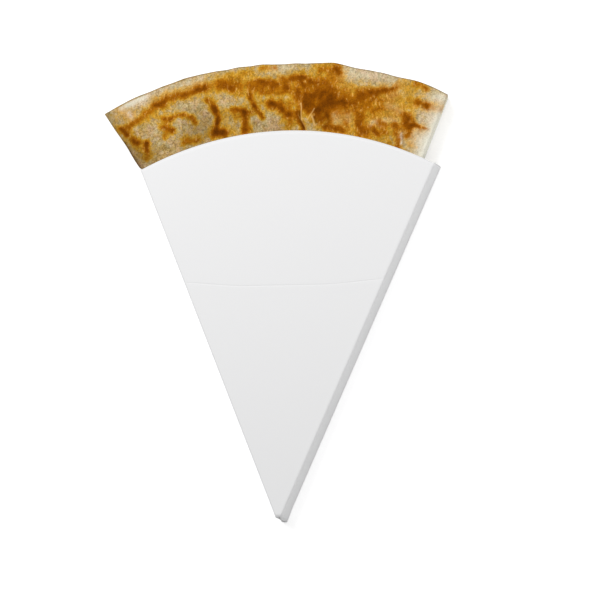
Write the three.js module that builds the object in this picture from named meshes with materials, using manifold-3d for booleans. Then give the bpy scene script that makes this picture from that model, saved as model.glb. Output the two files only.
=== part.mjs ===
// A folded crepe in a flat, wedge-shaped takeaway sleeve of white card, lying on its back panel.
// Millimetres. +Z is up, +Y runs from the tip of the sleeve to its mouth, X runs across it.
// Until the last lines, Y is measured from the apex, the point where the long folds would meet.
import * as THREE from 'three';
import { mergeVertices } from 'three/addons/utils/BufferGeometryUtils.js';
import Module from 'manifold-3d';

const wasm = await Module();
wasm.setup();

// Sleeve, driving dimensions
const wedgeAngle = THREE.MathUtils.degToRad(46); // between the two long folds of a panel
const foldLength = 175; // along a long fold, from the apex to a corner of the mouth
const mouthRadius = 151; // arc of the mouth's edge, on both panels
const cardThickness = 0.5;
const insideCreaseRadius = 0.4;
const tipFlat = 0.7; // flat width left between the creases where the tip is cut off
const flapWidth = 12; // glue flap inside the back panel
const flapTaper = 10; // length of the flap's slanted ends
const flapInset = 3; // from the flap's top end to the corner of the mouth
const scoreDrop = 70; // from the top of the mouth down to the tear line
const scoreRise = 2.2; // how far the tear line turns up at its ends
const scoreFlat = 28; // half length of the tear line's straight middle
const scoreWidth = 0.5;
const scoreDepth = 0.15;

// Crepe, driving dimensions: a round sheet folded in half three times, so it has eight layers
const layerThickness = 0.9;
const layerGap = 0.35;
const foldRound = 1.6; // at the middle of the sheet, on the corners of a thick fold
const crepeTipWidth = 6.2;
const rimRadius = 181; // arc of the crepe's rim
const rimStand = 31; // from the top of the mouth up to the top of the rim
const rimStagger = 2.2; // between the furthest and the nearest layer at the rim
const rimPattern = [0.2, 0.5, 1, 0.35, 0.8, 0.2, 0.55, 0]; // share of it by which each layer falls short
const ringOrder = [0, 1, 6, 5, 2, 3, 4, 7]; // layer that each eighth of the sheet becomes, in turn
const rightRake = 0.23; // how much further in the folds on the right lie, for each layer further down
const foldRoom = 1; // flat length of the shortest run where the layers part
const flareAngle = THREE.MathUtils.degToRad(36); // of the left edge from the axis, past the mouth
const rightSlack = 5.2; // added to the side clearance on the right, at the mouth

// Clearances between the crepe and the card
const seatGap = 0.3; // under the bottom layer, above the glue flap
const headroom = 0.55; // over the top layer, under the front panel
const sideGap = 0.4; // between the crepe's left edge and the left gusset

// Sizes that follow from those
const splay = Math.tan(wedgeAngle / 2);
const creaseRadius = insideCreaseRadius + cardThickness;
const cornerX = foldLength * Math.sin(wedgeAngle / 2);
const cornerY = foldLength * Math.cos(wedgeAngle / 2);
const mouthCentreY = cornerY - Math.sqrt(mouthRadius ** 2 - cornerX ** 2);
const mouthTop = mouthCentreY + mouthRadius;
const tipY = (creaseRadius + tipFlat / 2) / splay;
const layers = rimPattern.length;
const pitch = layerThickness + layerGap;
const crepeThickness = layers * pitch - layerGap;
const crepeTipY = (crepeTipWidth / 2 + cardThickness + sideGap) / splay;
const seatHeight = 2 * cardThickness + seatGap;
const sleeveDepth = seatHeight + crepeThickness + headroom + cardThickness;
const overrun = 5; // how far cutting tools and blanks run past what they cut
const bendSegments = 4;
const arcSegments = 24;

// Turns a closed three.js geometry into a manifold-3d solid.
function solid(geometry) {
  geometry.deleteAttribute('normal');
  geometry.deleteAttribute('uv');
  const merged = mergeVertices(geometry, 1e-5);
  return new wasm.Manifold(new wasm.Mesh({
    numProp: 3,
    vertProperties: new Float32Array(merged.attributes.position.array),
    triVerts: new Uint32Array(merged.index.array),
  }));
}

// Turns a manifold-3d solid back into a three.js geometry.
function geometry(body) {
  const mesh = body.getMesh();
  const made = new THREE.BufferGeometry();
  made.setAttribute('position', new THREE.BufferAttribute(mesh.vertProperties, 3));
  made.setIndex(new THREE.BufferAttribute(mesh.triVerts, 1));
  const faceted = made.toNonIndexed();
  faceted.computeVertexNormals();
  return faceted;
}

// Extrudes a section through stations that run from the mouth towards the tip. It is drawn in X and
// Z, at the width between the corners of the mouth, and each half of it moves with its own edge:
// edges gives X of the left and of the right one at a station.
function splayed(section, stations, edges) {
  const steps = stations.length - 1;
  const options = { depth: steps, steps, bevelEnabled: false, curveSegments: bendSegments };
  const made = new THREE.ExtrudeGeometry(section, options);
  const place = made.attributes.position;
  for (let i = 0; i < place.count; i += 1) {
    const y = stations[Math.round(place.getZ(i))];
    const [left, right] = edges(y);
    const x = place.getX(i);
    const moved = x < 0 ? x + cornerX + left : x - cornerX + right;
    place.setXYZ(i, moved, y, place.getY(i));
  }
  return solid(made);
}

// A prism through the part that keeps what lies below an arc, between two heights.
function belowArc(radius, top, reach, low, high) {
  const centreY = top - radius;
  const start = Math.acos(Math.min(reach / radius, 1));
  const outline = new THREE.Shape();
  outline.moveTo(-reach, -overrun);
  outline.lineTo(reach, -overrun);
  outline.absarc(0, centreY, radius, start, Math.PI - start, false);
  const options = { depth: high - low, bevelEnabled: false, curveSegments: arcSegments };
  const made = new THREE.ExtrudeGeometry(outline, options);
  made.translate(0, 0, low);
  return solid(made);
}

// Outside faces of the sleeve's gussets.
function foldEdges(y) {
  return [-y * splay, y * splay];
}

// Section through the card: back panel, right gusset, front panel and left gusset, folded from one
// strip. The strip ends under the left gusset's last crease, where its edge is glued to the back panel.
function cardSection() {
  const left = creaseRadius - cornerX;
  const right = cornerX - creaseRadius;
  const low = creaseRadius;
  const high = sleeveDepth - creaseRadius;
  const outside = new THREE.Shape();
  outside.moveTo(left, 0);
  const centres = [[right, low], [right, high], [left, high], [left, cardThickness + low]];
  creases(outside, creaseRadius, centres);

  const inside = new THREE.Path();
  const glued = left + tipFlat / 2;
  inside.moveTo(glued, 2 * cardThickness);
  inside.lineTo(glued, cardThickness);
  creases(inside, insideCreaseRadius, centres);
  outside.holes.push(inside);
  return outside;
}

// Quarter arcs about four centres, counterclockwise from the lower right one.
function creases(path, radius, centres) {
  const quarter = Math.PI / 2;
  centres.forEach(([x, z], turn) => {
    path.absarc(x, z, radius, (turn - 1) * quarter, turn * quarter, false);
  });
  path.closePath();
}

// The glue flap, along the left edge of the back panel and on top of it, with slanted ends.
function glueFlap() {
  const outer = (y) => -y * splay + creaseRadius + tipFlat / 4;
  const inner = (y) => -y * splay + flapWidth;
  const low = tipY + flapTaper;
  const high = cornerY - flapInset;
  const outline = new THREE.Shape([
    new THREE.Vector2(outer(low), low),
    new THREE.Vector2(inner(low + flapTaper), low + flapTaper),
    new THREE.Vector2(inner(high - flapTaper), high - flapTaper),
    new THREE.Vector2(outer(high), high),
  ]);
  const bedded = cardThickness / 2;
  const made = new THREE.ExtrudeGeometry(outline, { depth: 2 * cardThickness - bedded, bevelEnabled: false });
  made.translate(0, 0, bedded);
  return solid(made);
}

// The groove of the tear line, across the front panel with its ends turned up at the long folds.
function tearLine() {
  const middleY = mouthTop - scoreDrop;
  const endX = (middleY + scoreRise) * splay;
  const course = new THREE.SplineCurve([
    new THREE.Vector2(-endX, middleY + scoreRise),
    new THREE.Vector2(-scoreFlat, middleY),
    new THREE.Vector2(scoreFlat, middleY),
    new THREE.Vector2(endX, middleY + scoreRise),
  ]).getPoints(24);
  const upper = course.map((p) => new THREE.Vector2(p.x, p.y + scoreWidth / 2));
  const lower = course.map((p) => new THREE.Vector2(p.x, p.y - scoreWidth / 2));
  const outline = new THREE.Shape([...lower, ...upper.reverse()]);
  const made = new THREE.ExtrudeGeometry(outline, { depth: scoreDepth + overrun, bevelEnabled: false });
  made.translate(0, 0, sleeveDepth - scoreDepth);
  return solid(made);
}

function cardSleeve() {
  const tube = splayed(cardSection(), [mouthTop + overrun, tipY], foldEdges);
  const mouth = belowArc(mouthRadius, mouthTop, cornerX + overrun, -overrun, sleeveDepth + overrun);
  return tube.intersect(mouth).add(glueFlap()).subtract(tearLine());
}

// Left and right edge of the crepe. The left one fans out once it is clear of the sleeve.
function crepeEdges(y) {
  const inSleeve = Math.min(y, cornerY);
  const past = y - inSleeve;
  const left = -(inSleeve * splay - cardThickness - sideGap) - past * Math.tan(flareAngle);
  const slack = rightSlack * (y - crepeTipY) / (cornerY - crepeTipY);
  const right = y * splay - cardThickness - sideGap - slack;
  return [left, right];
}

// The round sheet is a closed loop in section: flat runs joined by folds, on the right and on the left
// in turn. A fold that lies inside others on its side is nested, and sits further in.
function sheetFolds() {
  const folds = ringOrder.map((from, turn) => {
    const to = ringOrder[(turn + 1) % layers];
    return { side: turn % 2 === 0 ? 1 : -1, from, to, low: Math.min(from, to), high: Math.max(from, to) };
  });
  for (const fold of folds) {
    const around = folds.filter((o) => o.side === fold.side && o.low < fold.low && o.high > fold.high);
    const rake = fold.side > 0 ? rightRake * (layers - 1 - fold.high) : 0;
    fold.inset = around.length * pitch + rake;
  }
  return folds;
}

function layerHeight(layer) {
  return seatHeight + layerThickness / 2 + layer * pitch;
}

// Draws one face of the sheet, at an offset from the middle of its thickness. The loop runs
// counterclockwise, and a positive offset is on its outside.
function sheetFace(path, offset) {
  for (const { side, from, to, inset } of sheetFolds()) {
    const rise = Math.sign(to - from);
    const clockwise = side * rise < 0;
    const half = Math.abs(layerHeight(to) - layerHeight(from)) / 2;
    const round = Math.min(half, foldRound);
    const radius = clockwise ? round - offset : round + offset;
    const extreme = side * (cornerX - layerThickness / 2 - inset);
    const centre = extreme - side * round;
    const quarter = rise * Math.PI / 2;
    const across = side < 0 ? Math.PI : 0;
    if (round === half) {
      path.absarc(centre, layerHeight(from) + rise * round, radius, -quarter, quarter, clockwise);
    } else {
      path.absarc(centre, layerHeight(from) + rise * round, radius, -quarter, across, clockwise);
      path.absarc(centre, layerHeight(to) - rise * round, radius, across, quarter, clockwise);
    }
  }
  path.closePath();
  return path;
}

function sheetSection() {
  const section = sheetFace(new THREE.Shape(), layerThickness / 2);
  section.holes.push(sheetFace(new THREE.Path(), -layerThickness / 2));
  return section;
}

// Towards its tip the crepe is pressed into one mass, with the outline of the folded stack.
function pressedSection() {
  const round = foldRound + layerThickness / 2;
  const left = round - cornerX;
  const right = cornerX - round;
  const low = seatHeight + round;
  const high = seatHeight + crepeThickness - round;
  const section = new THREE.Shape();
  creases(section, round, [[right, low], [right, high], [left, high], [left, low]]);
  return section;
}

// The rim of each layer, cut to its own arc so that the layers don't end in line.
function rim(reach) {
  const top = mouthTop + rimStand;
  const slabs = rimPattern.map((share, layer) => {
    const low = layer === 0 ? -overrun : layerHeight(layer) - pitch / 2;
    const high = layerHeight(layer) + (layer === layers - 1 ? overrun : pitch / 2);
    return belowArc(rimRadius, top - share * rimStagger, reach, low, high);
  });
  return slabs.reduce((stack, slab) => stack.add(slab));
}

function foldedCrepe() {
  const rimEnd = mouthTop + rimStand + overrun;
  const foldsWidth = (layers / 2 + 2) * pitch + layers * rightRake + foldRoom;
  const partY = crepeTipY + (foldsWidth - crepeTipWidth) / (2 * splay - rightSlack / (cornerY - crepeTipY));
  const stack = splayed(sheetSection(), [rimEnd, cornerY, partY], crepeEdges);
  const tip = splayed(pressedSection(), [partY + overrun, crepeTipY], crepeEdges);
  const reach = Math.max(...crepeEdges(rimEnd).map(Math.abs));
  return stack.add(tip).intersect(rim(reach));
}

const card = new THREE.MeshStandardMaterial({ color: 0xf3f3f1, roughness: 0.6, metalness: 0 });
const batter = new THREE.MeshStandardMaterial({ color: 0xcb9a52, roughness: 0.7, metalness: 0 });

function piece(name, body, material) {
  const mesh = new THREE.Mesh(geometry(body), material);
  mesh.name = name;
  return mesh;
}

const crepeCone = new THREE.Group();
crepeCone.add(piece('card_sleeve', cardSleeve(), card));
crepeCone.add(piece('folded_crepe', foldedCrepe(), batter));

// The origin goes to the middle of the footprint, on the surface that the back panel lies on.
const bounds = new THREE.Box3().setFromObject(crepeCone);
const middle = bounds.getCenter(new THREE.Vector3());
crepeCone.position.set(-middle.x, -middle.y, -bounds.min.z);

export default crepeCone;
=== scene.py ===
"""A folded crepe in a wedge-shaped takeaway sleeve of white card, lying on a white table."""
import math

import bpy
import numpy as np
from mathutils import Matrix, Vector, noise


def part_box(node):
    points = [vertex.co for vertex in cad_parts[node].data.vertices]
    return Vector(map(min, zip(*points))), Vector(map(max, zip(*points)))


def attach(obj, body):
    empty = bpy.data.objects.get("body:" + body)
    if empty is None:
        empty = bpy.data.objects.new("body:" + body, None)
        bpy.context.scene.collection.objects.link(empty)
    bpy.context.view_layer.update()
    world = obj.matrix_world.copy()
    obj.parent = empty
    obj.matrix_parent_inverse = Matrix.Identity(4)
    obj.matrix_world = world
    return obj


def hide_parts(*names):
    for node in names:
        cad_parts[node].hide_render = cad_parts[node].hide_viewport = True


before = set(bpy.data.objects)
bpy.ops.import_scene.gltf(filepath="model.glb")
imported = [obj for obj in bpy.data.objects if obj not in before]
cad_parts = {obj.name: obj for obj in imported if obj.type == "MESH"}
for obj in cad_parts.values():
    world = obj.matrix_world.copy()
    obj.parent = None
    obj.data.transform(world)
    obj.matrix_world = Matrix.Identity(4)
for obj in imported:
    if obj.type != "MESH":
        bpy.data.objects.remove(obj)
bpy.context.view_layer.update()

mm = 0.001

# Sleeve
wedge_angle = math.radians(46)
fold_length = 175.3 * mm
mouth_radius = 151 * mm
card_thickness = 0.5 * mm
inside_crease = 0.4 * mm
tip_flat = 0.7 * mm
flap_width = 12 * mm
flap_taper = 10 * mm
flap_inset = 3 * mm
glue_line = 0.05 * mm
score_drop = 70.3 * mm
score_rise = 2.2 * mm
score_flat = 28 * mm
score_width = 0.5 * mm
score_depth = 0.12 * mm
panel_crown = 0.9 * mm
tip_pinch = 0.62 * mm
pinch_length = 7 * mm
tip_slant = 0.8 * mm

# Crepe
layer_thickness = 0.9 * mm
layer_gap = 0.35 * mm
fold_round = 0.75 * mm
crepe_tip_width = 6.2 * mm
rim_radius = 181 * mm
rim_stand = 30.7 * mm
rim_stagger = 2.2 * mm
rim_pattern = [0.2, 0.5, 1, 0.35, 0.8, 0.2, 0.55, 0]
ring_order = [0, 1, 6, 5, 2, 3, 4, 7]
right_rake = 0.34 * mm
fold_room = 1 * mm
flare_angle = math.radians(36)
right_slack = 6.1 * mm
left_bulge = 0.8 * mm
seat_gap = 0.3 * mm
side_gap = 0.4 * mm

# Sizes that follow from those
splay = math.tan(wedge_angle / 2)
crease_radius = inside_crease + card_thickness
corner_x = fold_length * math.sin(wedge_angle / 2)
corner_y = fold_length * math.cos(wedge_angle / 2)
mouth_centre = corner_y - math.sqrt(mouth_radius ** 2 - corner_x ** 2)
mouth_top = mouth_centre + mouth_radius
tip_y = (crease_radius + tip_flat / 2) / splay
layers = len(rim_pattern)
pitch = layer_thickness + layer_gap
crepe_tip_y = (crepe_tip_width / 2 + card_thickness + side_gap) / splay
seat_height = 2 * card_thickness + seat_gap

# Everything is drawn from the apex of the wedge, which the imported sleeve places.
sleeve_low, sleeve_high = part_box("card_sleeve")
apex = Vector(((sleeve_low.x + sleeve_high.x) / 2, sleeve_low.y - tip_y, sleeve_low.z))
sleeve_depth = sleeve_high.z - sleeve_low.z


def smoothstep(low, high, value):
    t = np.clip((value - low) / (high - low), 0, 1)
    return t * t * (3 - 2 * t)


def settle(start, rule):
    """The value at which each number equals the rule for it, found by repeating the rule."""
    value = start
    for _ in range(40):
        value = rule(value)
    return value


def grid_faces(rows, columns, closed):
    """Quads of a grid of vertices that is numbered row by row, closed round each row or open."""
    last = columns if closed else columns - 1
    row, column = np.meshgrid(np.arange(rows - 1), np.arange(last), indexing="ij")
    after = (column + 1) % columns
    corners = [row * columns + column, row * columns + after]
    corners += [(row + 1) * columns + after, (row + 1) * columns + column]
    return np.stack(corners, axis=-1).reshape(-1, 4)


def make_object(name, vertices, faces, attributes=None):
    """A smooth mesh object at the origin, from positions measured from the apex."""
    mesh = bpy.data.meshes.new(name)
    mesh.from_pydata((vertices + np.array(apex)).tolist(), [], faces.tolist())
    for label, values in (attributes or {}).items():
        layer = mesh.attributes.new(label, "FLOAT", "POINT")
        layer.data.foreach_set("value", np.asarray(values, dtype=np.float32))
    mesh.polygons.foreach_set("use_smooth", [True] * len(mesh.polygons))
    mesh.update()
    made = bpy.data.objects.new(name, mesh)
    bpy.context.scene.collection.objects.link(made)
    return made


def slab(outer, inner):
    """Vertices and outward quads of a thick strip, from grids of its two faces (rows, columns, 3)."""
    rows, columns = outer.shape[:2]
    face = grid_faces(rows, columns, closed=False)
    count = rows * columns
    grid = np.arange(count).reshape(rows, columns)
    edge = np.concatenate([grid[0, :], grid[1:, -1], grid[-1, -2::-1], grid[-2:0:-1, 0]])
    after = np.roll(edge, -1)
    walls = np.stack([edge, edge + count, after + count, after], axis=-1)
    faces = np.concatenate([face, face[:, ::-1] + count, walls])
    return np.concatenate([outer.reshape(-1, 3), inner.reshape(-1, 3)]), faces


# Card sleeve

def mouth_arc(x):
    return mouth_centre + np.sqrt(mouth_radius ** 2 - x ** 2)


def score_course(x):
    """Y of the tear line: straight in the middle of the panel and turned up at the folds."""
    end = (mouth_top - score_drop + score_rise) * splay
    return mouth_top - score_drop + score_rise * smoothstep(score_flat * 0.6, end * 1.1, abs(x))


def card_path():
    """The folded strip in section: for each point the share of the way from the left crease to the
    right one, the height of the crease's centre, the direction in which the card lies from it, the
    share of the flap's width, and whether it is on the front panel."""
    low = crease_radius
    high = sleeve_depth - crease_radius
    lap = card_thickness + glue_line + low
    path = []

    def run(count, share, height, turn, flap=(0, 0), front=0):
        for i in range(count):
            t = i / count
            place = [a + (b - a) * t for a, b in (share, height, turn, flap)]
            path.append([place[0], place[1], math.radians(place[2]), place[3], front])

    run(48, (0, 1), (low, low), (-90, -90))
    run(6, (1, 1), (low, low), (-90, 0))
    run(12, (1, 1), (low, high), (0, 0))
    run(6, (1, 1), (high, high), (0, 90))
    run(96, (1, 0), (high, high), (90, 90), front=1)
    run(6, (0, 0), (high, high), (90, 180))
    run(12, (0, 0), (high, lap), (180, 180))
    run(6, (0, 0), (lap, lap), (180, 270))
    run(9, (0, 0), (lap, lap), (270, 270), flap=(0, 1.125))
    return np.array(path)


def flap_reach(y):
    """Width of the glue flap, which has slanted ends."""
    low = tip_y + flap_taper
    high = corner_y - flap_inset
    slope = np.minimum(y - low, high - y) / flap_taper
    return flap_width * np.clip(slope, 0.03, 1)


def card_rows(position):
    """Y of each row of the card at a point of its section: from the tip, through the tear line, to
    the mouth. position gives X at a given Y."""
    score = settle(corner_y, lambda y: score_course(position(y)))
    mouth = settle(corner_y, lambda y: mouth_arc(position(y)))
    groove = score_width * np.array([-1.2, -0.8, -0.4, 0, 0.4, 0.8, 1.2])
    below = np.linspace(tip_y, score + groove[0], 60, endpoint=False)
    above = np.linspace(score + groove[-1], mouth, 41)[1:]
    return np.concatenate([below, score + groove, above]), score


def build_sleeve():
    outer, inner = [], []
    for share, height, turn, flap, front in card_path():
        def across(y):
            edge = splay * y - crease_radius
            return edge * (2 * share - 1) + flap * flap_reach(y)

        y, score = card_rows(across)
        rise = (height + crease_radius * math.sin(turn)) / sleeve_depth
        pinch = tip_pinch * smoothstep(0.1, 0.35, rise) * (1 - smoothstep(0.65, 0.9, rise))
        x = across(y) - pinch * (2 * share - 1) * (1 - smoothstep(tip_y, tip_y + pinch_length, y))
        y = y - tip_slant * (1 - rise) * (1 - smoothstep(tip_y, tip_y + pinch_length, y))
        bulge = panel_crown * front * (4 * share * (1 - share)) ** 1.5 * (y / mouth_top) ** 2
        groove = front * score_depth * np.exp(-((y - score) / (0.45 * score_width)) ** 2)
        for grid, radius, sunk in ((outer, crease_radius, groove), (inner, inside_crease, 0)):
            z = height + radius * math.sin(turn) + bulge - sunk
            grid.append(np.stack([x + radius * math.cos(turn), y, z + 0 * y], axis=-1))
    # Columns run round the section and rows from the tip to the mouth.
    outer = np.array(outer).transpose(1, 0, 2)
    inner = np.array(inner).transpose(1, 0, 2)
    vertices, faces = slab(outer, inner)
    return make_object("sleeve", vertices, faces[:, ::-1])


# Crepe

def crepe_left(y):
    past = np.maximum(y - corner_y, 0)
    inside = y - past
    bulge = left_bulge * smoothstep(0, 2 * mm, past) * (1 - smoothstep(3 * mm, 13 * mm, past))
    return -(inside * splay - card_thickness - side_gap) - past * math.tan(flare_angle) - bulge


def crepe_right(y):
    slack = right_slack * (y - crepe_tip_y) / (corner_y - crepe_tip_y)
    return y * splay - card_thickness - side_gap - slack


# Where the real rim stands out from a true arc: place, half width and height.
rim_bulges = [(-78, 20, 1.5), (-46, 18, 1.4), (-16, 16, 0.5), (8, 7, 0.3), (23, 6, 1.1), (17, 5, 0.55), (62, 9, 1.0),
              (75, 4, -0.4)]


def rim_arc(x, layer):
    centre = mouth_top + rim_stand - rim_radius
    arc = centre + np.sqrt(rim_radius ** 2 - x ** 2)
    shape = sum(height * mm * np.exp(-(((x / mm - place) / width) ** 2)) for place, width, height in rim_bulges)
    ragged = [noise.noise(Vector((place / (7 * mm), 3.7 * layer, 0.5))) for place in np.ravel(x)]
    ragged = 0.35 * mm * np.array(ragged).reshape(np.shape(x))
    return arc + shape + ragged - rim_pattern[int(round(layer))] * rim_stagger


def layer_height(layer):
    return seat_height + layer_thickness / 2 + layer * pitch


def sheet_folds():
    """The folds between the layers, in turn round the closed loop of the sheet."""
    folds = []
    for turn, start in enumerate(ring_order):
        end = ring_order[(turn + 1) % layers]
        folds.append({"side": 1 if turn % 2 == 0 else -1, "start": start, "end": end})
    for fold in folds:
        low, high = sorted((fold["start"], fold["end"]))
        around = [other for other in folds if other["side"] == fold["side"]
                  and min(other["start"], other["end"]) < low and max(other["start"], other["end"]) > high]
        rake = right_rake * (layers - 1 - high) if fold["side"] > 0 else 0
        fold["inset"] = layer_thickness / 2 + pitch * len(around) + rake
        fold["half"] = (layer_height(high) - layer_height(low)) / 2
        fold["round"] = min(fold["half"], fold_round)
    return folds


def bend_points(fold):
    """Points of a fold in section: offset from the edge of the crepe, height, and outward normal."""
    side = fold["side"]
    rise = 1 if fold["end"] > fold["start"] else -1
    spin = side * rise
    centre = -side * (fold["inset"] + fold["round"])
    points = []
    count = 5 if fold["round"] < fold["half"] or fold["half"] < 1 * mm else 7
    for corner, layer in ((0, fold["start"]), (1, fold["end"])):
        height = layer_height(layer) + (rise if corner == 0 else -rise) * fold["round"]
        for i in range(count):
            if corner == 1 and i == 0 and fold["round"] == fold["half"]:
                continue
            bow = math.pi / 2 * (corner + i / (count - 1))
            sin, cos = math.sin(bow), math.cos(bow)
            x = centre + side * fold["round"] * sin
            z = height - rise * fold["round"] * cos
            points.append((x, z, spin * side * sin, -spin * rise * cos, layer))
    return points


def layer_shares(layer):
    """Where the points of a flat layer lie between its left and right fold, from 0 to 1. They are
    closest on the top layer, and there at the creases."""
    count = {layers - 1: 216, 0: 84}.get(layer, 30)
    place = np.linspace(0, 1, 400)
    closeness = 1 + (layer == layers - 1) * 1.4 * smoothstep(0.5, 0.54, place) * (1 - smoothstep(0.62, 0.68, place))
    share = np.cumsum(closeness) - closeness[0]
    return np.interp(np.arange(1, count) / count, share / share[-1], place)


def sheet_path():
    """The sheet in section: share of the way from the left edge of the crepe to the right one, offsets
    from the left and from the right edge, height, outward normal, and layer."""
    folds = sheet_folds()
    path = []
    for turn, fold in enumerate(folds):
        points = bend_points(fold)
        for x, z, normal_x, normal_z, layer in points:
            share = 1 if fold["side"] > 0 else 0
            path.append((share, x, x, z, normal_x, normal_z, layer))
        following = folds[(turn + 1) % layers]
        here = -fold["side"] * (fold["inset"] + fold["round"])
        there = -following["side"] * (following["inset"] + following["round"])
        left, right = (there, here) if fold["side"] > 0 else (here, there)
        layer = fold["end"]
        facing = 1 if fold["side"] > 0 else -1
        shares = layer_shares(layer)
        if fold["side"] > 0:
            shares = shares[::-1]
        for share in shares:
            path.append((share, left, right, layer_height(layer), 0, facing, layer))
    return np.array(path)


def crepe_rows(part_y, mouth, rim):
    """Y of each row at one point of the section, and its distance from the rim."""
    hidden = np.linspace(part_y, mouth - 7 * mm, 6)
    edge = np.array([2.1, 1.6, 1.2, 0.9, 0.65, 0.45, 0.3, 0.18, 0.08, 0]) * mm
    shown = np.linspace(mouth - 6 * mm, rim - 2.7 * mm, 62)
    y = np.concatenate([hidden, shown, rim - edge])
    return y, rim - y


def pressed_tip(part_y):
    """The point of the crepe, where the layers are pressed into one mass, up to where they part."""
    corner = layer_thickness
    low = seat_height + corner
    high = seat_height + layers * pitch - layer_gap - corner
    steps = 6
    ring = []
    for turn, (side, height) in enumerate(((1, low), (1, high), (-1, high), (-1, low))):
        for step in range(steps):
            angle = math.pi / 2 * (turn - 1 + step / (steps - 1))
            ring.append((side, corner * (math.cos(angle) - side), height + corner * math.sin(angle)))
    middle = (low + high) / 2
    rows = []
    for along, size in ((0, 0.8), (0.04, 0.92), (0.12, 1), (0.5, 1), (1.06, 1)):
        y = crepe_tip_y + along * (part_y - crepe_tip_y)
        edge = {1: crepe_right(y), -1: crepe_left(y)}
        centre = (edge[1] + edge[-1]) / 2
        rows.append([(centre + size * (edge[side] + x - centre), y, middle + size * (z - middle))
                     for side, x, z in ring])
    around = len(ring)
    first = np.arange(around // 2 - 1)
    cap = np.stack([first, first + 1, around - 2 - first, around - 1 - first], axis=-1)
    last = (len(rows) - 1) * around
    faces = np.concatenate([grid_faces(len(rows), around, closed=True), cap[:, ::-1], cap + last])
    return np.array(rows).reshape(-1, 3), faces


def build_crepe():
    folds_width = (layers / 2 + 2) * pitch + layers * right_rake + fold_room
    narrowing = 2 * splay - right_slack / (corner_y - crepe_tip_y)
    part_y = crepe_tip_y + (folds_width - crepe_tip_width) / narrowing
    outer, inner, free, rim_distance, layer_of, faces_up = [], [], [], [], [], []
    for share, left, right, height, normal_x, normal_z, layer in sheet_path():
        def across(y):
            return (1 - share) * (crepe_left(y) + left) + share * (crepe_right(y) + right)

        mouth = settle(corner_y, lambda y: mouth_arc(across(y)))
        rim = settle(mouth_top, lambda y: rim_arc(across(y), layer))
        y, distance = crepe_rows(part_y, mouth, float(rim))
        x = across(y)
        thin = 1 - 0.35 * (1 - smoothstep(0, 7 * mm, distance))
        rounded = np.sqrt(np.clip(1 - (1 - np.clip(distance / (0.35 * mm), 0, 1)) ** 2, 0.02, 1))
        half = layer_thickness / 2 * thin * rounded
        for grid, sign in ((outer, 1), (inner, -1)):
            place = [x + sign * half * normal_x, y, height + sign * half * normal_z]
            grid.append(np.stack(place, axis=-1))
        free.append(smoothstep(mouth - 5 * mm, mouth + 14 * mm, y))
        rim_distance.append(distance)
        layer_of.append(layer + 0 * y)
    # Rows run from the tip to the rim and columns round the loop of the sheet.
    outer, inner = (np.array(grid).transpose(1, 0, 2) for grid in (outer, inner))
    rows, columns = outer.shape[:2]
    count = rows * columns
    band = grid_faces(rows, columns, closed=True)
    first = np.arange(columns)
    after = (first + 1) % columns
    last = first + (rows - 1) * columns
    follow = after + (rows - 1) * columns
    start_wall = np.stack([first, after, after + count, first + count], axis=-1)
    rim_wall = np.stack([last, last + count, follow + count, follow], axis=-1)
    faces = np.concatenate([band[:, ::-1], band + count, start_wall, rim_wall])
    tip_vertices, tip_faces = pressed_tip(part_y)
    vertices = np.concatenate([outer.reshape(-1, 3), inner.reshape(-1, 3), tip_vertices])
    faces = np.concatenate([faces, tip_faces + 2 * count])
    extra = len(tip_vertices)
    both = [np.tile(np.array(values).T.ravel(), 2) for values in (free, rim_distance, layer_of)]
    free, distance, layer = [np.append(values, np.full(extra, value))
                             for values, value in zip(both, (0, fold_length, 0))]
    side = np.repeat([1.0, -1.0, -1.0], [count, count, extra])
    return vertices, faces, free, distance, layer, side


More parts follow.
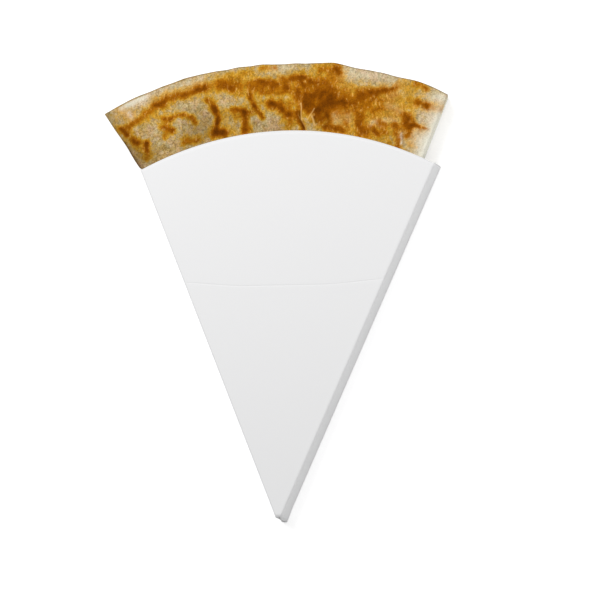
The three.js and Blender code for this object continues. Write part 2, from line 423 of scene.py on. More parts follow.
# Marks of the top layer: strength, half width and course of each, in millimetres from the apex.
brown_marks = {
    "tanned left corner": (0.1, 4.5, [(-83.6, 187.4), (-76.6, 176.4), (-69.7, 165.3)]),
    "tan under the rim, left": (0.34, 3.2, [(-78.2, 188.6), (-74.4, 187.6)]),
    "edge spot": (0.88, 1.25, [(-78.3, 180.8), (-76.7, 179.3), (-75.5, 178)]),
    "lower edge spot": (0.93, 1.75, [(-71.6, 174.7), (-70.4, 174.1)]),
    "small upright spot": (0.84, 1.1, [(-66.2, 174), (-65.9, 170.3)]),
    "golden corner": (0.42, 1.8, [(-66.2, 166.9), (-64.4, 167.6)]),
    "gold along the mouth, left": (0.06, 1.6, [(-63.4, 168), (-60.7, 170), (-57.9, 170.8)]),
    "streak under the rim, tail": (0.58, 1.6, [(-75.1, 181.4), (-70.5, 184.8), (-67.3, 186.6)]),
    "gold below that tail": (0.1, 2.2, [(-71, 182), (-64, 185.5), (-58, 188)]),
    "streak under the rim, head": (0.42, 1.8, [(-65, 188.7), (-62.7, 190.9), (-59, 192.7)]),
    "streak under the rim": (0.72, 1.3, [(-61.7, 191.1), (-57.2, 193.6), (-50.8, 195.5), (-45.4, 196.6)]),
    "dark fleck at its end": (0.74, 1.5, [(-42.5, 198), (-39.5, 198.8)]),
    "gold round that streak": (0.38, 3, [(-62.5, 191.8), (-55.8, 194.8), (-41.8, 198.8)]),
    "arch": (0.74, 1.2, [(-58.6, 184.8), (-55, 185.2), (-51.7, 186.5), (-48.9, 186.6), (-45.8, 185.3), (-43.2, 182.9)]),
    "spot under the arch": (0.8, 1.3, [(-58.2, 181.1), (-56.3, 180.2), (-54.6, 179.7)]),
    "gold under the arch": (0.3, 2.4, [(-57.3, 182.5), (-56, 178.8)]),
    "small spot under the arch": (0.62, 0.9, [(-57.8, 177.3), (-57.7, 175.8)]),
    "patch at the mouth, left": (0.6, 2.2, [(-47.8, 174.2), (-43, 175.2)]),
    "winding streak, head": (0.81, 1.2, [(-37.9, 192.7), (-35, 189.8)]),
    "winding streak": (0.85, 1.3, [(-35.4, 190.3), (-32.7, 185.9), (-33.3, 182.5), (-33.5, 178.3)]),
    "foot of the winding streak": (0.95, 2.1, [(-33.9, 178.1), (-31.8, 178.3), (-28.6, 177.6)]),
    "golden shelf": (0.5, 2.9, [(-37, 199.2), (-31.4, 199.6), (-23, 199.1), (-12.7, 198.1), (-4.2, 196.8)]),
    "dark fleck in the shelf": (0.6, 1.9, [(-31.9, 200.7), (-29.1, 199.3), (-26.2, 197.6)]),
    "orange at the rim": (0.34, 2.2, [(-27.8, 202.9), (-23.1, 204.4), (-18.5, 205.4)]),
    "orange dash at the rim": (0.52, 1.3, [(-13.5, 206.8), (-11.5, 207.1), (-6.8, 206.9)]),
    "hook": (0.78, 1.3, [(-26.7, 188.2), (-22.2, 187.8), (-18, 186.9)]),
    "gold under the hook": (0.28, 2.2, [(-29.2, 185.3), (-26.4, 185.2), (-23.1, 184.9)]),
    "stem of the hook": (0.84, 1.6, [(-20.2, 186.4), (-20, 181.7), (-20.6, 178.2)]),
    "foot of the stem": (0.4, 1.2, [(-19.5, 178.6), (-17, 179)]),
    "gold under the shelf": (0.25, 2.6, [(-19.6, 194.9), (-15.9, 196.6)]),
    "slanting wisp": (0.74, 1.2, [(-18.5, 195.1), (-16.7, 191.3), (-15.2, 188.4), (-12.1, 184.7)]),
    "dark streak, middle": (0.7, 1.7, [(-16, 200.3), (-12.3, 200.7), (-9, 200.1), (-6.6, 199.7)]),
    "gold below that streak, middle": (0.3, 1.8, [(-12, 198.2), (-8, 197.8)]),
    "dark streak under the rim": (0.78, 1.6, [(-1.8, 201.2), (0.8, 201.7), (6.4, 202.3)]),
    "slanting dark streak": (0.9, 1.9, [(-9, 190.6), (-6, 189.9), (-2.6, 188.4), (0, 185.4)]),
    "gold round it": (0.22, 2.6, [(-5.9, 190.4), (-2.1, 188.5)]),
    # Painted shade on the left of the upright crease, in a brown colour.
    "painted shade beside the crease": (0.75, 1.3, [(4.2, 186), (4.7, 183.3), (6, 180.8), (6.9, 179.1)]),
    "mottled gold, middle": (0.5, 3, [(-1, 197.6), (2.8, 195.7), (4.3, 192.9)]),
    "olive gold by the crease": (0.36, 2.2, [(-1, 183.6), (-0.2, 180.2)]),
    "big brown patch, top": (0.74, 3, [(8.3, 199.2), (13, 198.8), (17.7, 197.6)]),
    "big brown patch": (0.72, 3.8, [(8.4, 194.2), (14.5, 194.2), (19.6, 193.4)]),
    "big brown patch, foot": (0.82, 2.7, [(8.8, 189.8), (14.1, 189.5), (19.2, 190.2)]),
    "brown above the creases": (0.5, 1.6, [(8.6, 188.2), (10.5, 187.5)]),
    "brown above the blister": (0.7, 1.8, [(13.3, 187.2), (17.4, 187.5)]),
    "big brown patch, right": (0.46, 3.6, [(27.5, 193.7), (33.1, 193.1), (38.2, 191.1)]),
    "lower right of the patch": (0.62, 2, [(22.9, 190.1), (27.6, 189.6)]),
    "brown below the patch": (0.62, 2.7, [(30.8, 189), (32, 185.4), (33.2, 181.2), (35, 178.6)]),
    "gold at the rim": (0.58, 2.6, [(15.5, 206.1), (20.5, 205.8)]),
    "gold below the rim spot": (0.26, 2.4, [(18, 201.2), (24.1, 200.2)]),
    "orange spot at the rim": (0.56, 1.9, [(22.1, 207.3), (23.3, 204.3)]),
    "blister": (0.7, 2.7, [(14.4, 184.6), (15.2, 182.6)]),
    "brown under the blister": (0.74, 1.5, [(17.2, 179.2), (21.4, 178.8), (24.6, 178)]),
    "brown right of the blister": (0.45, 1, [(18.2, 186.2), (18.7, 182.9), (18.1, 180.2)]),
    "mottled gold by the blister": (0.38, 3.2, [(22.6, 187), (26.8, 182.7), (27.8, 180)]),
    "streak right of the patch": (0.72, 1.8, [(33.1, 193.8), (38.5, 194.6), (43.9, 195.5)]),
    "end of that streak": (0.6, 1.3, [(45, 195.3), (49, 196.4)]),
    "gold below that streak": (0.36, 4.2, [(39.6, 191.1), (44.2, 190.5), (48.8, 192.2)]),
    "golden brown, lower": (0.34, 3.8, [(36.9, 186.1), (43.4, 185.1), (49.9, 185.4)]),
    "patch at the mouth, right": (0.76, 1.7, [(33.7, 177.1), (36.7, 176.6)]),
    "spot at the mouth, right": (0.72, 1.2, [(40.2, 176.6), (41.7, 175.1)]),
    "thin streak, lower": (0.35, 1.0, [(41.7, 181.6), (45.6, 179.6), (49.6, 179.1)]),
    "olive gold": (0.5, 2.4, [(43.1, 178.6), (45.6, 175.6)]),
    "gold left of the crest": (0.62, 1.5, [(50.3, 176.7), (50.9, 172.6), (51.4, 169.9)]),
    "tan right of the crest": (0.2, 2, [(54.6, 173.9), (56.2, 171.6)]),
    "dark patch, right": (0.84, 2.2, [(55.3, 182.3), (55.8, 178.8), (55.9, 176.1)]),
    "head of the dark patch": (0.25, 1.4, [(52.9, 184.4), (54.4, 182.1)]),
    "tail of the dark patch": (0.8, 1.2, [(57.9, 179), (61.1, 178.4)]),
    "end of that tail": (0.42, 0.8, [(61.1, 178.6), (63.5, 177.8), (66.2, 176.7)]),
    "gold left of the dark patch": (0.3, 1.6, [(50.7, 179), (52.8, 179)]),
    "streak by the right edge, start": (0.2, 1.5, [(55.6, 191.4), (58.1, 190.4)]),
    "gold below that start": (0.25, 2, [(54, 188), (57.3, 187.4)]),
    "streak by the right edge": (0.76, 1.4, [(59.5, 189.9), (61.8, 188.8), (64.4, 187.5)]),
    "streak by the right edge, end": (0.38, 1.7, [(64.8, 187.6), (67.5, 186.6), (70.4, 185.3)]),
    "orange by the right edge": (0.25, 2.2, [(68.5, 189), (71.2, 187.3)]),
    "gold in the pale corner": (0.16, 2, [(59.4, 172.4), (63.1, 174.1)]),
    "gold under the rim, right": (0.3, 2.4, [(51.5, 197.8), (54.7, 197.1), (57.1, 195.6)]),
    "dash at the rim": (0.68, 1.3, [(58.4, 198.2), (61.2, 196.9), (63.5, 195.6)]),
    "gold at the mouth": (0.22, 1.3, [(19.8, 178.1), (29.7, 176.6), (43.6, 172.6), (53.6, 167.6)]),
    "olive at the mouth, right": (0.3, 1.4, [(57.2, 169.9), (59, 169.2)]),
    "brown at the mouth": (0.06, 1.2, [(-39.9, 174.3), (-20, 177.5), (-0.1, 178.6), (9.8, 178.2)]),
}
pale_marks = {
    "band by the right edge": (0.8, 2.6, [(70.9, 183), (69.2, 179.5), (66.8, 174), (65, 169.1), (63.3, 164.6)]),
    "field by the right edge": (0.46, 3, [(60.8, 172.8), (63.2, 170.5), (61.8, 167.3)]),
    "corner by the right edge": (0.28, 2, [(65.9, 191.8), (70.1, 191.2)]),
    "field above the tail": (0.3, 2.4, [(65.6, 184.1), (67.1, 180.4)]),
    "rim, right": (0.24, 2.6, [(27.7, 204.6), (33.7, 203.6), (41.7, 201.9), (47.6, 200.4)]),
    "rim, far right": (0.35, 1.3, [(69.5, 192.3), (72, 190.8)]),
    "rim, middle": (0.18, 1.9, [(-7, 206.9), (-3, 206.9)]),
    "rim, left": (0.6, 1.4, [(-78.6, 190.6), (-72.2, 193.3), (-67.7, 194.9)]),
    "white spot, left": (0.6, 1.1, [(-74.8, 187.5), (-74, 186.7)]),
    "rim, left middle": (0.2, 1.8, [(-65.7, 196.8), (-53.8, 200.3), (-41.8, 202.8)]),
    # A painted highlight along the crest.
    "crest": (0.9, 0.45, [(52.3, 175.5), (52.3, 173.5), (52.7, 171)]),
    "beige by the blister": (0.15, 1.9, [(21.4, 185.4), (22.7, 182.4)]),
    "beige by the blister, right": (0.12, 1.1, [(27.5, 185.2), (28, 181.8)]),
    "curl, lower right": (0.22, 0.8, [(38.3, 179.3), (39.1, 180.9), (41.5, 181.2), (43.1, 179.6)]),
    "vein, lower right": (0.15, 0.9, [(44.5, 181.6), (47.2, 182.2), (50, 181)]),
    "vein, right": (0.12, 1.2, [(46.2, 188.2), (49.4, 187.2), (51.8, 185.3)]),
    "vein, upper right": (0.06, 1, [(47, 192.3), (51.6, 194.2)]),
}
# Darker marks, mixed towards a greyish brown. Those by the creases, the crest and the blister are painted shade; the
# others darken and grey patches and edges of the crepe.
dim_marks = {
    "left edge": (0.9, 0.55, [(-76.8, 174.7), (-72.9, 168.7), (-68.4, 162.1)]),
    "left edge, upper": (0.2, 0.4, [(-86.2, 188.1), (-76.8, 174.7)]),
    "left corner": (0.36, 5, [(-84.3, 186.4), (-75.9, 175.6), (-68.1, 165.8)]),
    "left edge, lower field": (0.28, 2.2, [(-72.5, 172.3), (-68.6, 167.2)]),
    "golden corner": (0.3, 3, [(-65.8, 167.1), (-63, 168.9)]),
    "blister": (0.12, 2.6, [(14.7, 184.4), (15, 182.1)]),
    "edge of the blister": (0.34, 0.8, [(16.1, 186.4), (18.2, 185.2), (18.7, 182.9), (17.8, 180.5), (15.8, 179.2)]),
    "rim, left": (0.5, 0.4, [(-86.6, 188.9), (-74.6, 194.7), (-59.7, 200.3), (-44.8, 204.3)]),
    "above the mouth, left": (0.3, 4.2, [(-47.7, 177.7), (-41.6, 178), (-38.3, 176.6)]),
    "at the mouth, left": (0.2, 2.5, [(-50, 171.5), (-42, 174)]),
    "right of the arch": (0.2, 3, [(-46, 184), (-43, 180)]),
    "left of the winding streak": (0.2, 2, [(-38, 185), (-36.5, 180)]),
    "between the streaks": (0.15, 4.0, [(-39.9, 190.3), (-37.9, 183.3)]),
    "left of the hook": (0.2, 3.6, [(-29.2, 185), (-24.4, 183.6)]),
    "middle": (0.14, 4.0, [(-12, 181.2), (-4.1, 181.2)]),
    "right of the hook": (0.2, 2.5, [(-16.5, 188), (-16.5, 182)]),
    "under the lip of the blister": (0.18, 1.8, [(9, 181), (13, 179.4)]),
    "at the mouth, right": (0.2, 2, [(45, 174.5), (49, 172)]),
    "left of the upright crease": (0.22, 2.4, [(-5, 179.5), (1, 180)]),
    "shade of the upright crease": (0.75, 0.45, [(5.3, 186.5), (5.4, 183.1), (6.4, 181.2), (7.7, 178.7)]),
    "shade of the slanting crease": (0.3, 0.4, [(12.6, 187.4), (11, 185)]),
    "dark inside of the lip": (0.6, 0.6, [(12.1, 184), (12.6, 182.2), (13.3, 181.1)]),
    "shade of the crest": (0.4, 0.5, [(53.4, 175.1), (53.1, 173.3), (53.4, 171.1)]),
}
# Crests of the creases on the top layer: they raise the creases, and they carry a painted highlight along them in a
# bright golden colour.
crest_ridges_and_highlights = {
    "upright crease": (0.75, 0.32, [(5.8, 190.3), (6.1, 188.7), (6, 186), (6.2, 183)]),
    "top of the upright crease": (0.35, 0.3, [(5.9, 193.3), (5.8, 190.3)]),
    "foot of the upright crease": (0.6, 0.32, [(6.2, 183), (6.9, 181.6), (7.8, 180.1), (8.5, 178.6)]),
    "slanting crease": (0.66, 0.36, [(12.1, 187.9), (11.2, 186.3), (10.1, 184.7), (9, 182.8)]),
    "lip of the blister": (0.9, 0.42, [(11, 184.4), (11.7, 182.8), (12, 181.5), (12.5, 180.2), (13.3, 180.8)]),
    "lip of the blister, tail": (0.35, 0.34, [(13.7, 179.6), (15.8, 178.9), (18.6, 178.2)]),
    "faint line": (0.3, 0.28, [(-1.9, 194.9), (1, 192.1), (4.3, 190.2), (5.8, 189.7)]),
    "crease, right": (0.5, 0.36, [(50.6, 198.6), (51, 195.1), (51.6, 192.2)]),
    "curl, right": (0.45, 0.32, [(44.6, 181.6), (42.9, 180.1), (43, 178.1)]),
}


def mark_amount(x, y, marks, fray=0.5):
    """How strongly each point lies in a set of marks, from 0 to 1. Each mark has a core and a wider
    skirt, and fray tells how much of the skirt is there."""
    left = np.ones_like(x)
    for strength, width, course in marks.values():
        course = np.array(course, dtype=float) * mm
        distance = np.full_like(x, 1.0)
        for start, end in zip(course[:-1], course[1:]):
            along = end - start
            t = ((x - start[0]) * along[0] + (y - start[1]) * along[1]) / (along @ along)
            t = np.clip(t, 0, 1)
            gap = np.hypot(x - start[0] - t * along[0], y - start[1] - t * along[1])
            distance = np.minimum(distance, gap)
        reach = distance / (width * mm)
        amount = 0.7 * np.exp(-(reach ** 2)) + 0.6 * fray * np.exp(-((reach / 2.3) ** 2))
        left *= 1 - strength * np.minimum(amount, 1)
    return 1 - left


def noise_field(x, y, size, seed):
    """Smooth noise between -1 and 1 with features of a given size."""
    return np.array([noise.noise(Vector((a / size, b / size, seed))) for a, b in zip(x, y)])


def crepe_colouring(vertices, layer, side, distance):
    """Browning, paleness, dimness and painted crease highlights of each point of the crepe; part of the dimness is
    painted shade and one pale mark a painted highlight.
    """
    x, y = vertices[:, 0], vertices[:, 1]
    seed = 10 * layer + 5 * side
    shown = np.nonzero(y > corner_y - 20 * mm)[0]
    x, y, seed = x[shown], y[shown], seed[shown]
    warp_x = x + 0.5 * mm * noise_field(x, y, 3.5 * mm, 1.0)
    warp_y = y + 0.5 * mm * noise_field(x, y, 3.5 * mm, 2.0)
    on_top = (layer[shown] == layers - 1) & (side[shown] > 0)
    warp_x += 0.5 * mm * noise_field(x, y, 1.6 * mm, 3.0)
    warp_y += 0.5 * mm * noise_field(x, y, 1.6 * mm, 4.0)
    fray = 0.5 + 0.4 * noise_field(x, y, 2.4 * mm, 6.0)
    brown = mark_amount(warp_x, warp_y, brown_marks, fray)
    brown *= 0.93 + 0.2 * noise_field(x, y, 3.5 * mm, 5.0)
    pale = mark_amount(warp_x, warp_y, pale_marks)
    dim = mark_amount(x, y, dim_marks)
    crest = mark_amount(x, y, crest_ridges_and_highlights)
    size = 9 * mm
    mottle = np.array([noise.noise(Vector((a / size, b / size, c))) for a, b, c in zip(warp_x, warp_y, seed)])
    size = 17 * mm
    broad = np.array([noise.noise(Vector((a / size, b / size, c))) for a, b, c in zip(warp_x, warp_y, seed)])
    ridge = 1 - np.abs(mottle) * 3.2
    other_brown = np.clip(0.12 + 0.75 * np.clip(ridge, 0, 1) * smoothstep(-0.25, 0.3, broad), 0, 1)
    other_pale = 0.5 * smoothstep(0.1, 0.5, -broad)
    all_brown = np.full(len(vertices), 0.3)
    all_pale = np.zeros(len(vertices))
    all_brown[shown] = np.where(on_top, brown, other_brown)
    all_pale[shown] = np.where(on_top, pale, other_pale)
    all_dim = np.zeros(len(vertices))
    all_dim[shown] = np.where(on_top, dim, 0)
    all_crest_highlight = np.zeros(len(vertices))
    all_crest_highlight[shown] = np.where(on_top, crest, 0)
    crisp = (1 - smoothstep(0.2 * mm, 0.9 * mm, distance)) * (1 - 0.8 * smoothstep(0, 40 * mm, vertices[:, 0]))
    all_brown = np.maximum(all_brown, 0.18 * crisp)
    all_dim = np.maximum(all_dim, 0.6 * (1 - smoothstep(0.15 * mm, 0.6 * mm, distance)))
    right_edge = smoothstep(-3.5 * mm, -1 * mm, vertices[:, 0] - crepe_right(vertices[:, 1]))
    right_edge *= 1 - 0.85 * (layer == layers - 1)
    all_pale = all_pale * (1 - crisp)
    return all_brown * (1 - 0.85 * right_edge), all_pale + (1 - all_pale) * right_edge, all_dim, all_crest_highlight


def wrinkle_height(x, y):
    """Height of the creases of the top layer, and of the soft folds beside them."""
    sharp = mark_amount(x, y, {name: (strength, 1.2 * width, course) for name, (strength, width, course)
                               in crest_ridges_and_highlights.items()})
    soft = mark_amount(x, y, {"left": (0.5, 1.6, [(-40, 200), (-36, 192), (-35, 184)]),
                              "blister": (0.7, 2.2, [(15.2, 183.2), (17.4, 184)]),
                              "right": (0.6, 0.9, [(53, 176), (52.6, 173.5), (52.8, 171)])})
    return (0.45 * sharp + 0.5 * soft) * mm


# Node trees

def add_node(tree, kind, settings=None, sockets=None):
    """A node of a kind, with its settings first and then the values or links of its sockets."""
    node = tree.nodes.new(kind)
    for name, value in (settings or {}).items():
        setattr(node, name, value)
    for key, value in (sockets or {}).items():
        if isinstance(value, Signal):
            tree.links.new(value.socket, node.inputs[key])
        else:
            node.inputs[key].default_value = value
    return node


class Signal:
    """A node's output, which can be calculated with like a number."""

    def __init__(self, socket):
        self.socket = socket
        self.tree = socket.id_data

    def math(self, operation, first, second=0.0):
        node = add_node(self.tree, "ShaderNodeMath", {"operation": operation}, {0: first, 1: second})
        return Signal(node.outputs[0])

    def __add__(self, other):
        return self.math("ADD", self, other)

    def __radd__(self, other):
        return self.math("ADD", other, self)

    def __sub__(self, other):
        return self.math("SUBTRACT", self, other)

    def __rsub__(self, other):
        return self.math("SUBTRACT", other, self)

    def __mul__(self, other):
        return self.math("MULTIPLY", self, other)

    def __rmul__(self, other):
        return self.math("MULTIPLY", other, self)

    def between(self, low, high):
        """A smooth step from 0 at low to 1 at high."""
        node = add_node(self.tree, "ShaderNodeMapRange", {"interpolation_type": "SMOOTHSTEP"},
                        {"Value": self, "From Min": low, "From Max": high})
        return Signal(node.outputs[0])


def linear(*srgb):
    """A colour in Blender's linear values, from 8-bit screen values."""
    values = [value / 255 for value in srgb]
    return [v / 12.92 if v <= 0.04045 else ((v + 0.055) / 1.055) ** 2.4 for v in values] + [1]


def mix_colour(tree, factor, first, second, blend="MIX"):
    node = add_node(tree, "ShaderNodeMix", {"data_type": "RGBA", "blend_type": blend},
                    {0: factor, 6: first, 7: second})
    return Signal(node.outputs[2])


def noise_signal(tree, place, size, detail=2.0, distortion=0.0, stretch=None):
    """Noise between 0 and 1 with features of a given size, over Object coordinates."""
    if stretch:
        place = Signal(add_node(tree, "ShaderNodeMapping", None, {"Vector": place, "Scale": stretch}).outputs[0])
    node = add_node(tree, "ShaderNodeTexNoise", None, {
        "Vector": place, "Scale": 1 / size, "Detail": detail, "Distortion": distortion})
    return Signal(node.outputs[0])


def new_material(name, base):
    """A material, its node tree, its shader and its Object coordinates."""
    material = bpy.data.materials.new(name)
    material.use_nodes = True
    tree = material.node_tree
    tree.nodes.clear()
    shader = add_node(tree, "ShaderNodeBsdfPrincipled", None, base)
    output = add_node(tree, "ShaderNodeOutputMaterial")
    tree.links.new(shader.outputs[0], output.inputs[0])
    place = Signal(add_node(tree, "ShaderNodeTexCoord").outputs["Object"])
    return material, tree, shader, place


def connect(shader, name, signal):
    shader.id_data.links.new(signal.socket, shader.inputs[name])


def card_material():
    material, tree, shader, place = new_material("white_card", {"Specular IOR Level": 0.12})
    fibres = noise_signal(tree, place, 0.5 * mm, 4.0, 0.6)
    cloud = noise_signal(tree, place, 14 * mm, 3.0)
    tone = (fibres - 0.5) * 0.05 + (cloud - 0.5) * 0.04 + 0.5
    connect(shader, "Base Color", mix_colour(tree, tone, linear(233, 233, 233), linear(240, 240, 241)))
    connect(shader, "Roughness", 0.55 + (fibres - 0.5) * 0.2)
    bump = add_node(tree, "ShaderNodeBump", None, {"Strength": 0.25, "Distance": 0.03 * mm, "Height": fibres})
    connect(shader, "Normal", Signal(bump.outputs[0]))
    return material


def crepe_material():
    material, tree, shader, place = new_material("baked_batter", {"Specular IOR Level": 0.02})

    def attribute(name):
        return Signal(add_node(tree, "ShaderNodeAttribute", {"attribute_name": name}).outputs["Fac"])

    brown, pale, dim, crest = [attribute(name) for name in ("browning", "paleness", "dimness", "crest_highlight")]
    crumb = noise_signal(tree, place, 1.3 * mm, 3.0, 2.0)
    dash = noise_signal(tree, place, 1.0 * mm, 2.0, 0.8, stretch=(1, 0.45, 1))
    fleck = noise_signal(tree, place, 2.4 * mm, 3.0, 1.5)
    patch = noise_signal(tree, place, 5 * mm, 3.0, 0.6)
    olive = noise_signal(tree, place, 4.5 * mm, 3.0, 1.2)
    rosy = noise_signal(tree, place, 3.2 * mm, 2.0, 0.5)

    spread = (patch - 0.5) * 0.3 + (fleck - 0.5) * 0.6 + (dash - 0.5) * 0.25
    baked = brown * (0.93 + 0.3 * patch) + spread * (0.85 - brown * 0.62)
    ramp = add_node(tree, "ShaderNodeValToRGB")
    stops = [(0.0, (211, 189, 139)), (0.2, (219, 180, 96)), (0.38, (218, 162, 46)),
             (0.58, (193, 121, 13)), (0.78, (158, 88, 2)), (1.0, (116, 60, 1))]
    elements = ramp.color_ramp.elements
    while len(elements) < len(stops):
        elements.new(0.5)
    for element, (position, colour) in zip(elements, stops):
        element.position = position
        element.color = linear(*colour)
    tree.links.new(baked.socket, ramp.inputs[0])

    dough = mix_colour(tree, rosy.between(0.4, 0.62), linear(212, 190, 138), linear(227, 189, 141))
    dough = mix_colour(tree, olive.between(0.45, 0.62) * 0.65, dough, linear(193, 154, 64))
    dough = mix_colour(tree, (1 - fleck.between(0.34, 0.5)) * 0.3, dough, linear(242, 224, 184))
    toasted = mix_colour(tree, baked.between(0.08, 0.34), dough, Signal(ramp.outputs[0]))
    whitened = mix_colour(tree, pale * (1 - baked.between(0.35, 0.7)), toasted, linear(250, 250, 237))
    # Painted glints: small bright golden dashes in the golden parts of the crepe.
    painted_glints = dash.between(0.56, 0.7) * baked.between(0.22, 0.4) * (1 - baked.between(0.62, 0.85)) * 0.5
    lit = mix_colour(tree, painted_glints, whitened, linear(246, 198, 110))
    # Painted highlight along the crease crests, in a bright golden colour.
    lit = mix_colour(tree, crest.between(0.2, 0.95), lit, linear(244, 196, 122))

    grain = crumb.between(0.36, 0.6) * 0.65 + dash.between(0.35, 0.65) * 0.35
    # The grain fades where the crepe is browned or pale, and under the painted crease highlights.
    grain = 1 - (1 - grain) * (1 - brown * 0.45) * (1 - pale * 0.9) * (1 - crest)
    shade = mix_colour(tree, grain, linear(168, 163, 155), linear(255, 255, 255))
    # The dimness darkens the colour; by the creases, the crest and the blister this is painted shade.
    shade = mix_colour(tree, dim, shade, linear(110, 98, 84))
    connect(shader, "Base Color", mix_colour(tree, 1.0, lit, shade, "MULTIPLY"))
    connect(shader, "Roughness", 0.5 + crumb * 0.3)
    height = crumb * 0.5 + fleck * 0.8 + baked.between(0.3, 0.9) * 0.5
    bump = add_node(tree, "ShaderNodeBump", None, {"Strength": 0.6, "Distance": 0.25 * mm, "Height": height})
    connect(shader, "Normal", Signal(bump.outputs[0]))
    return material


def relief_tree(material):
    """Geometry nodes that wave the free part of the crepe and raise blisters on its faces."""
    tree = bpy.data.node_groups.new("crepe_relief", "GeometryNodeTree")
    sizes = {"Wave Height": 0.8 * mm, "Wave Size": 26 * mm, "Blister Height": 0.35 * mm,
             "Blister Size": 5.5 * mm, "Seed": 4.0}
    tree.interface.new_socket("Geometry", in_out="INPUT", socket_type="NodeSocketGeometry")
    for name in sizes:
        tree.interface.new_socket(name, in_out="INPUT", socket_type="NodeSocketFloat")
    tree.interface.new_socket("Geometry", in_out="OUTPUT", socket_type="NodeSocketGeometry")
    given = add_node(tree, "NodeGroupInput")
    value = {name: Signal(given.outputs[name]) for name in sizes}
    position = Signal(add_node(tree, "GeometryNodeInputPosition").outputs[0])
    parts = add_node(tree, "ShaderNodeSeparateXYZ", None, {0: position})
    flat = add_node(tree, "ShaderNodeCombineXYZ", None, {0: Signal(parts.outputs[0]), 1: Signal(parts.outputs[1])})
    flat = Signal(flat.outputs[0])

    def attribute(name):
        node = add_node(tree, "GeometryNodeInputNamedAttribute", {"data_type": "FLOAT"}, {"Name": name})
        return Signal(node.outputs[0])

    def waves(size, detail):
        scale = size.math("DIVIDE", 1.0, size)
        node = add_node(tree, "ShaderNodeTexNoise", {"noise_dimensions": "4D"},
                        {"Vector": flat, "W": value["Seed"], "Scale": scale, "Detail": detail})
        return Signal(node.outputs[0])

    lift = (waves(value["Wave Size"], 1.0) - 0.5) * value["Wave Height"] * attribute("free") * 2
    bubbles = waves(value["Blister Size"], 0.0).between(0.5, 0.72)
    lift = lift + bubbles * value["Blister Height"] * attribute("face")
    offset = add_node(tree, "ShaderNodeCombineXYZ", None, {2: lift + attribute("crease")})
    moved = add_node(tree, "GeometryNodeSetPosition", None,
                     {"Geometry": Signal(given.outputs["Geometry"]), "Offset": Signal(offset.outputs[0])})
    real = add_node(tree, "GeometryNodeRealizeInstances", None, {"Geometry": Signal(moved.outputs[0])})
    finished = add_node(tree, "GeometryNodeSetMaterial", None,
                        {"Geometry": Signal(real.outputs[0]), "Material": material})
    add_node(tree, "NodeGroupOutput", None, {0: Signal(finished.outputs[0])})
    return tree, sizes


def apply_tree(target, tree, sizes):
    """Runs a tree on an object with the given sizes and keeps the result as a plain mesh."""
    modifier = target.modifiers.new("relief", "NODES")
    modifier.node_group = tree
    for item in tree.interface.items_tree:
        if item.in_out == "INPUT" and item.name in sizes:
            modifier[item.identifier] = sizes[item.name]
    evaluated = target.evaluated_get(bpy.context.evaluated_depsgraph_get())
    mesh = bpy.data.meshes.new_from_object(evaluated)
    target.modifiers.clear()
    target.data = mesh


def make_crepe():
    vertices, faces, free, distance, layer, side = build_crepe()
    brown, pale, dim, crest = crepe_colouring(vertices, layer, side, distance)
    top = (layer == layers - 1) & (vertices[:, 2] > layer_height(layers - 1.8))
    crease = np.where(top, wrinkle_height(vertices[:, 0], vertices[:, 1]) * free, 0)
    shown_face = ((layer == layers - 1) & (side > 0)) * free * smoothstep(0.5 * mm, 4 * mm, distance)
    attributes = {"browning": brown, "paleness": pale, "dimness": dim, "crest_highlight": crest, "free": free,
                  "crease": crease, "face": shown_face}
    made = make_object("crepe", vertices, faces, attributes)
    apply_tree(made, *relief_tree(crepe_material()))
    return made


# Stage, camera and light

def white_to(tree):
    """1 for the rays that are to see the surroundings as plain white."""
    path = add_node(tree, "ShaderNodeLightPath")
    seen, mirrored, passed = [Signal(path.outputs[name]) for name in
                              ("Is Camera Ray", "Is Glossy Ray", "Is Transmission Ray")]
    return seen.math("MAXIMUM", seen, seen.math("MAXIMUM", mirrored, passed))


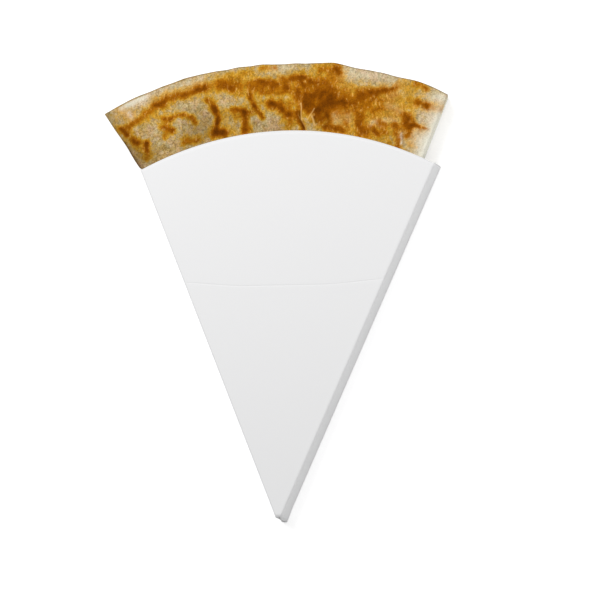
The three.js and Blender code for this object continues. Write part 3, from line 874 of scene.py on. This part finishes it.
def make_stage():
    size = 4.0
    mesh = bpy.data.meshes.new("table")
    low = sleeve_low.z - 0.02 * mm
    mesh.from_pydata([(-size, -size, low), (size, -size, low), (size, size, low), (-size, size, low)], [],
                     [(0, 1, 2, 3)])
    table = bpy.data.objects.new("table", mesh)
    bpy.context.scene.collection.objects.link(table)
    material = bpy.data.materials.new("table_white")
    material.use_nodes = True
    tree = material.node_tree
    tree.nodes.clear()
    seen = white_to(tree)
    plain = add_node(tree, "ShaderNodeBsdfDiffuse", None, {"Color": [0.8, 0.8, 0.8, 1]})
    glow = add_node(tree, "ShaderNodeEmission", None, {"Strength": 0.5})
    both = add_node(tree, "ShaderNodeAddShader")
    tree.links.new(plain.outputs[0], both.inputs[0])
    tree.links.new(glow.outputs[0], both.inputs[1])
    choice = add_node(tree, "ShaderNodeMixShader", None, {0: seen})
    tree.links.new(plain.outputs[0], choice.inputs[1])
    tree.links.new(both.outputs[0], choice.inputs[2])
    output = add_node(tree, "ShaderNodeOutputMaterial")
    tree.links.new(choice.outputs[0], output.inputs[0])
    mesh.materials.append(material)


def make_world():
    world = bpy.data.worlds.new("studio")
    world.use_nodes = True
    tree = world.node_tree
    tree.nodes.clear()
    seen = white_to(tree)
    strength = 0.45 + seen * 0.6
    background = add_node(tree, "ShaderNodeBackground", None, {"Color": [1, 1, 1, 1], "Strength": strength})
    output = add_node(tree, "ShaderNodeOutputWorld")
    tree.links.new(background.outputs[0], output.inputs[0])
    bpy.context.scene.world = world


def make_lamp(name, place, aim, size, power):
    data = bpy.data.lights.new(name, "AREA")
    data.shape = "DISK"
    data.size = size
    data.energy = power
    lamp = bpy.data.objects.new(name, data)
    lamp.location = place
    lamp.rotation_euler = (Vector(place) - Vector(aim)).to_track_quat("Z", "Y").to_euler()
    bpy.context.scene.collection.objects.link(lamp)


def make_camera():
    """A long lens, square to the front panel but for a few degrees."""
    direction = Vector((0.2612, -0.1541, 0.9529)).normalized()
    aim = apex + Vector((6.13, 101.71, 6.0)) * mm
    right = Vector((0, 1, 0)).cross(direction).normalized()
    axes = Matrix((right, direction.cross(right), direction)).transposed()
    roll = Matrix.Rotation(math.radians(1.39), 3, direction)
    data = bpy.data.cameras.new("camera")
    data.sensor_width = 36
    data.lens = 401.7
    data.clip_end = 50
    camera = bpy.data.objects.new("camera", data)
    camera.matrix_world = Matrix.Translation(aim + 3.0 * direction) @ (roll @ axes).to_4x4()
    bpy.context.scene.collection.objects.link(camera)
    bpy.context.scene.camera = camera


make_camera()
make_stage()
make_world()
make_lamp("key", (-0.24, 0.34, 0.55), (-0.02, 0.05, 0), 0.6, 2.9)
make_lamp("fill", (0.55, 0.12, 0.32), (0.02, 0.05, 0), 0.5, 0.95)

sleeve = build_sleeve()
sleeve.data.materials.append(card_material())
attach(sleeve, "root")
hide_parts("card_sleeve")

crepe = make_crepe()
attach(crepe, "root")
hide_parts("folded_crepe")

bpy.context.scene.view_settings.view_transform = "Standard"
